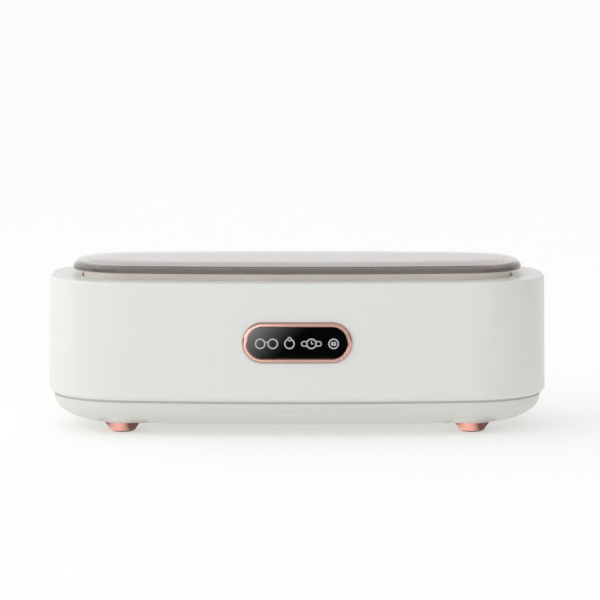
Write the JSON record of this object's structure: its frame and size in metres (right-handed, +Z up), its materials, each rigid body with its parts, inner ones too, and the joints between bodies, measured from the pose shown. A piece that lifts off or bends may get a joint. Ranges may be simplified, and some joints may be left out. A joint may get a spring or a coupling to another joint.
{
  "type": "ultrasonic cleaner",
  "caption": "Low oblong tabletop ultrasonic cleaner with a lift-off lid, steel tank, slotted basket, front touch panel, rear power jack and small feet.",
  "frame": {"origin": "on the table under the middle of the cleaner", "axes": "+X along the long side, -Y out of the touch panel, +Y out of the power jack, +Z up"},
  "size_m": [0.205, 0.0966, 0.0694],
  "materials": {
    "housing_white": "gloss, warm white",
    "base_white": "gloss, slightly greyer white",
    "lid_tea": "clear acrylic with a tea tint",
    "skirt_frost": "frosted, faintly pink",
    "tank_steel": "drawn and brushed",
    "gasket_rubber": "soft grey silicone",
    "basket_white": "moulded, fine satin",
    "rose_gold": "polished rose-gold plating",
    "lens_black": "polished black",
    "icon_light": "translucent light grey",
    "black_plastic": "moulded black",
    "board_green": "green solder mask",
    "screw_steel": "zinc plated",
    "foam_black": "conductive foam",
    "lamp_white": "clear lamp on white",
    "connector_ivory": "ivory nylon",
    "cable_grey": "grey sheath",
    "cable_red": "red insulation",
    "cable_black": "black insulation",
    "ferrite": "fired ferrite",
    "copper_wire": "enamelled copper",
    "capacitor_sleeve": "dark blue sleeve",
    "piezo_ceramic": "silvered ceramic",
    "epoxy": "amber epoxy",
    "pad_rubber": "black rubber",
    "plated_brass": "nickel plated"
  },
  "bodies": {
    "cleaner": {"base_shell": "base_white", "board_capacitors": "capacitor_sleeve", "board_sockets": "connector_ivory", "buzzer": "black_plastic", "cable_socket": "connector_ivory", "case_screws": "screw_steel", "control_board": "board_green", "control_board_screws": "screw_steel", "control_chip": "black_plastic", "driver_board": "board_green", "driver_board_screws": "screw_steel", "driver_chip": "black_plastic", "drum_inductor": "ferrite", "foot_back_left": "rose_gold", "foot_back_right": "rose_gold", "foot_front_left": "rose_gold", "foot_front_right": "rose_gold", "foot_pad_back_left": "pad_rubber", "foot_pad_back_right": "pad_rubber", "foot_pad_front_left": "pad_rubber", "foot_pad_front_right": "pad_rubber", "foot_screws": "screw_steel", "icon_denture": "icon_light", "icon_glasses": "icon_light", "icon_ring": "icon_light", "icon_watch": "icon_light", "indicator_leds": "lamp_white", "jack_leads": "cable_black", "jack_nut": "plated_brass", "jack_pin": "plated_brass", "jack_tags": "plated_brass", "light_shield": "black_plastic", "panel_bezel": "rose_gold", "panel_cable": "cable_grey", "panel_lens": "lens_black", "piezo_bond": "epoxy", "piezo_disc": "piezo_ceramic", "piezo_leads": "cable_red", "power_jack": "black_plastic", "power_transistor": "black_plastic", "screw_caps": "base_white", "tank": "tank_steel", "tank_gasket": "gasket_rubber", "touch_columns": "foam_black", "transformer_core": "ferrite", "transformer_winding": "copper_wire", "upper_housing": "housing_white"},
    "lid": {"lid_cover": "lid_tea", "lid_skirt": "skirt_frost"},
    "basket_body": {"basket": "basket_white"}
  },
  "joints": [
    {"name": "lid_lift", "type": "slide", "parent": "cleaner", "child": "lid", "axis": [0, 0, 1], "range_m": [0, 0.12]},
    {"name": "basket_lift", "type": "slide", "parent": "cleaner", "child": "basket_body", "axis": [0, 0, 1], "range_m": [0, 0.048]}
  ],
  "couplings": [
    {"joint": "basket_lift", "follows": "lid_lift", "ratio": 0.4}
  ]
}
